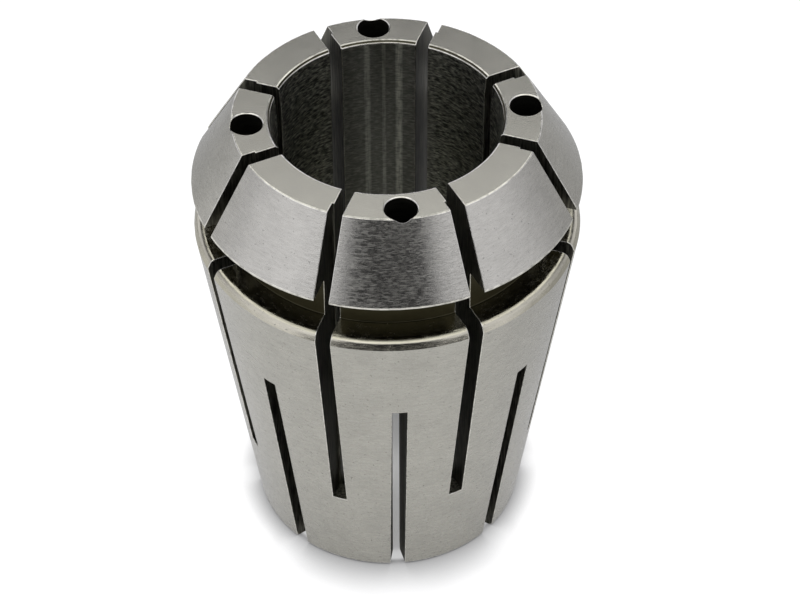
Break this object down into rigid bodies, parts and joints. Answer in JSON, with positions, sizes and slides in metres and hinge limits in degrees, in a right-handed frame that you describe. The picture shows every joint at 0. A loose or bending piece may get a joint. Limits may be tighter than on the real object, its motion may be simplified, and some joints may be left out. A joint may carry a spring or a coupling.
{
  "type": "er collet",
  "caption": "Slotted spring collet with a straight bore, a long clamping taper, an extraction groove and a short nose taper, slit alternately from both ends, with blind holes in its face.",
  "frame": {"origin": "centre of the back end, on the bore axis", "axes": "+Z along the bore axis from the back end to the nose; +X and +Y through the middle of slits of the back set"},
  "size_m": [0.026, 0.026, 0.034],
  "materials": {
    "ground_steel": "finely ground spring steel, satin on the cones, matt on the face, darker in the bore"
  },
  "bodies": {
    "root": {"collet": "ground_steel"}
  },
  "joints": []
}
